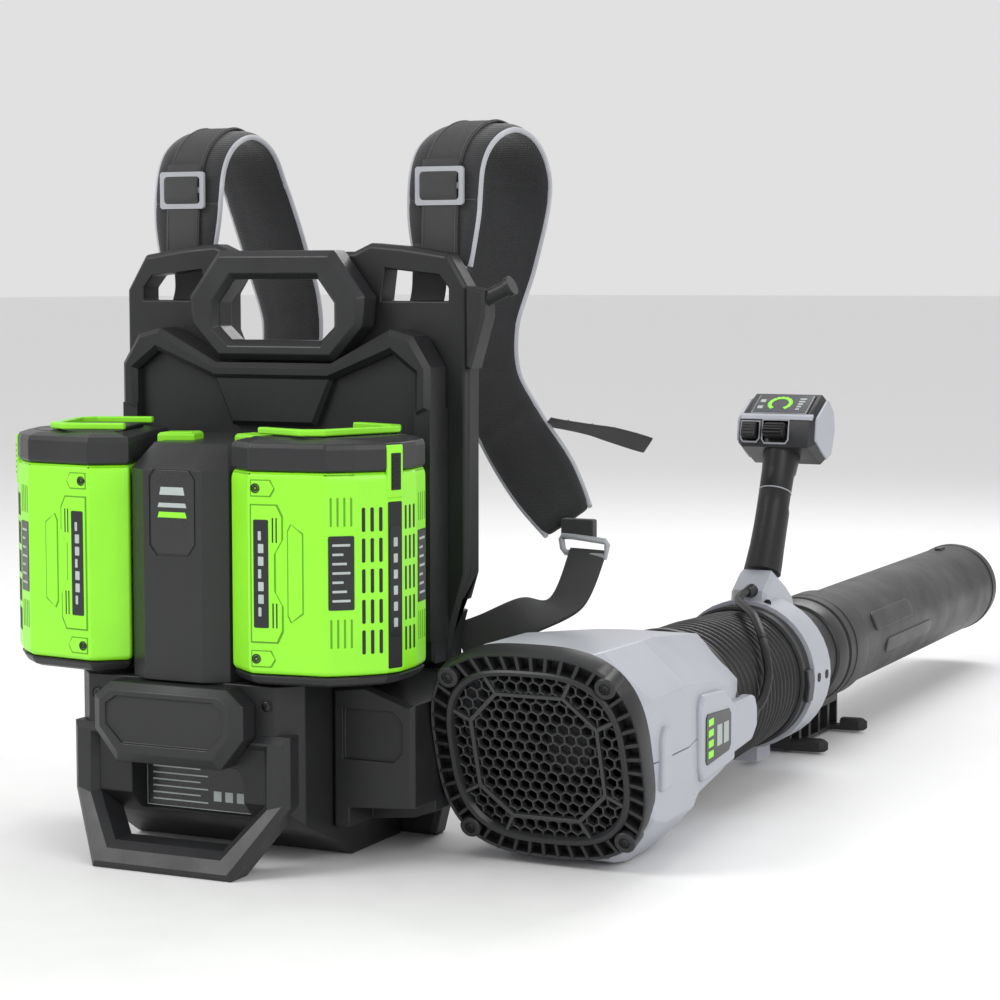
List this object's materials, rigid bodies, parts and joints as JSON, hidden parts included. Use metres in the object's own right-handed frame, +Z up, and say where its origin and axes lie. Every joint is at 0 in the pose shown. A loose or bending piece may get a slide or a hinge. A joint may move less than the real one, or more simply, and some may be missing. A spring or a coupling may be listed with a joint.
{
  "type": "backpack leaf blower",
  "caption": "Backpack leaf blower with a padded harness, slide-in battery packs, a ducted fan, a bellows hose and a blowing tube with a trigger handle.",
  "frame": {"origin": "on the ground at the flat foot of the base, in the middle plane of the carrier", "axes": "+Z up, +Y the way the wearer faces and the air leaves the tube, +X the wearer's right"},
  "size_m": [0.673, 1.5494, 0.671],
  "materials": {
    "black_plastic": "fine moulded texture",
    "tube_plastic": "satin",
    "grey_plastic": "satin",
    "green_plastic": "satin",
    "soft_rubber": "matte",
    "padded_fabric": "woven, padded",
    "webbing": "ribbed webbing",
    "buckle_metal": "satin grey",
    "inner_metal": "satin",
    "display_glass": "glossy"
  },
  "bodies": {
    "carrier": {"base_housing": "black_plastic", "base_front_cover": "black_plastic", "lower_handle": "black_plastic", "side_arm": "black_plastic", "harness_frame": "black_plastic", "rear_cover": "black_plastic", "carry_handle": "black_plastic", "battery_post": "black_plastic", "terminal_dock": "black_plastic", "control_module": "inner_metal", "hanger_peg": "black_plastic", "shoulder_strap_left": "padded_fabric", "shoulder_strap_right": "padded_fabric", "lower_webbing_left": "webbing", "lower_webbing_right": "webbing", "ladder_lock_left": "buckle_metal", "ladder_lock_right": "buckle_metal", "sternum_strap": "webbing", "back_pad": "padded_fabric", "lumbar_pad": "padded_fabric", "intake_grille": "black_plastic", "fan_housing_upper": "grey_plastic", "fan_housing_lower": "grey_plastic", "inlet_duct": "black_plastic", "motor_mount": "black_plastic", "motor": "inner_metal", "hose_rear": "soft_rubber", "control_lead_rear": "soft_rubber"},
    "fan_rotor": {"impeller": "black_plastic"},
    "battery_left": {"battery_left_shell": "green_plastic", "battery_left_tray": "black_plastic", "battery_left_cap": "black_plastic", "battery_left_cells": "inner_metal"},
    "latch_left": {"battery_left_latch": "green_plastic"},
    "bail_left": {"battery_left_bail": "green_plastic"},
    "release_left": {"release_button_left": "green_plastic"},
    "battery_right": {"battery_right_shell": "green_plastic", "battery_right_tray": "black_plastic", "battery_right_cap": "black_plastic", "battery_right_cells": "inner_metal"},
    "latch_right": {"battery_right_latch": "green_plastic"},
    "bail_right": {"battery_right_bail": "green_plastic"},
    "release_right": {"release_button_right": "green_plastic"},
    "hose_link": {"hose_middle": "soft_rubber"},
    "tube": {"hose_front": "soft_rubber", "control_lead_front": "soft_rubber", "hose_clamp_band": "black_plastic", "handle_ring": "grey_plastic", "middle_tube": "tube_plastic", "outlet_tube": "tube_plastic", "accessory_clip": "black_plastic", "control_grip": "soft_rubber", "control_head": "grey_plastic", "display": "display_glass"},
    "clamp_latch": {"hose_clamp_latch": "black_plastic"},
    "throttle": {"trigger": "green_plastic"},
    "boost": {"boost_button": "soft_rubber"},
    "cruise": {"cruise_lever": "soft_rubber"}
  },
  "joints": [
    {"name": "fan_spin", "type": "hinge", "parent": "carrier", "child": "fan_rotor", "pos_m": [0.3, 0.06, 0.101], "axis": [0, 1, 0], "continuous": true},
    {"name": "battery_left_lift", "type": "slide", "parent": "carrier", "child": "battery_left", "axis": [0, 0, 1], "range_m": [0, 0.24]},
    {"name": "battery_left_latch_pull", "type": "hinge", "parent": "battery_left", "child": "latch_left", "pos_m": [-0.19511, -0.10191, 0.336], "axis": [0.342, -0.9397, 0], "range_deg": [0, 12], "stiffness_Nm_per_rad": 0.4, "springref_deg": -17.19},
    {"name": "battery_left_bail_fold", "type": "hinge", "parent": "battery_left", "child": "bail_left", "pos_m": [-0.09175, -0.06429, 0.3906], "axis": [-0.342, 0.9397, 0], "range_deg": [0, 85]},
    {"name": "release_left_press", "type": "slide", "parent": "carrier", "child": "release_left", "axis": [0, 0, -1], "range_m": [0, 0.004], "stiffness_N_per_m": 600, "springref_m": -0.003},
    {"name": "battery_right_lift", "type": "slide", "parent": "carrier", "child": "battery_right", "axis": [0, 0, 1], "range_m": [0, 0.24]},
    {"name": "battery_right_latch_pull", "type": "hinge", "parent": "battery_right", "child": "latch_right", "pos_m": [0.19511, -0.10191, 0.336], "axis": [0.342, 0.9397, 0], "range_deg": [0, 12], "stiffness_Nm_per_rad": 0.4, "springref_deg": -17.19},
    {"name": "battery_right_bail_fold", "type": "hinge", "parent": "battery_right", "child": "bail_right", "pos_m": [0.09175, -0.06429, 0.3906], "axis": [-0.342, -0.9397, 0], "range_deg": [0, 85]},
    {"name": "release_right_press", "type": "slide", "parent": "carrier", "child": "release_right", "axis": [0, 0, -1], "range_m": [0, 0.004], "stiffness_N_per_m": 600, "springref_m": -0.003},
    {"name": "hose_pitch", "type": "hinge", "parent": "carrier", "child": "hose_link", "pos_m": [0.3, 0.311, 0.101], "axis": [1, 0, 0], "range_deg": [-20, 30], "deforming": ["hose_rear", "control_lead_rear"]},
    {"name": "hose_yaw", "type": "hinge", "parent": "hose_link", "child": "tube", "pos_m": [0.3, 0.438, 0.101], "axis": [0, 0, 1], "range_deg": [-20, 20], "deforming": ["hose_front", "control_lead_front"]},
    {"name": "clamp_latch_open", "type": "hinge", "parent": "tube", "child": "clamp_latch", "pos_m": [0.3765, 0.489, 0.081], "axis": [0, 1, 0], "range_deg": [0, 90]},
    {"name": "trigger_squeeze", "type": "hinge", "parent": "tube", "child": "throttle", "pos_m": [0.3, 0.6244, 0.29633], "axis": [-1, 0, 0], "range_deg": [0, 12], "stiffness_Nm_per_rad": 0.5, "springref_deg": -11.46},
    {"name": "boost_press", "type": "slide", "parent": "tube", "child": "boost", "axis": [0, 0.91, -0.4147], "range_m": [0, 0.002], "stiffness_N_per_m": 500, "springref_m": -0.002},
    {"name": "cruise_set", "type": "hinge", "parent": "tube", "child": "cruise", "pos_m": [0.3, 0.59897, 0.35627], "axis": [1, 0, 0], "range_deg": [-10, 10]}
  ]
}
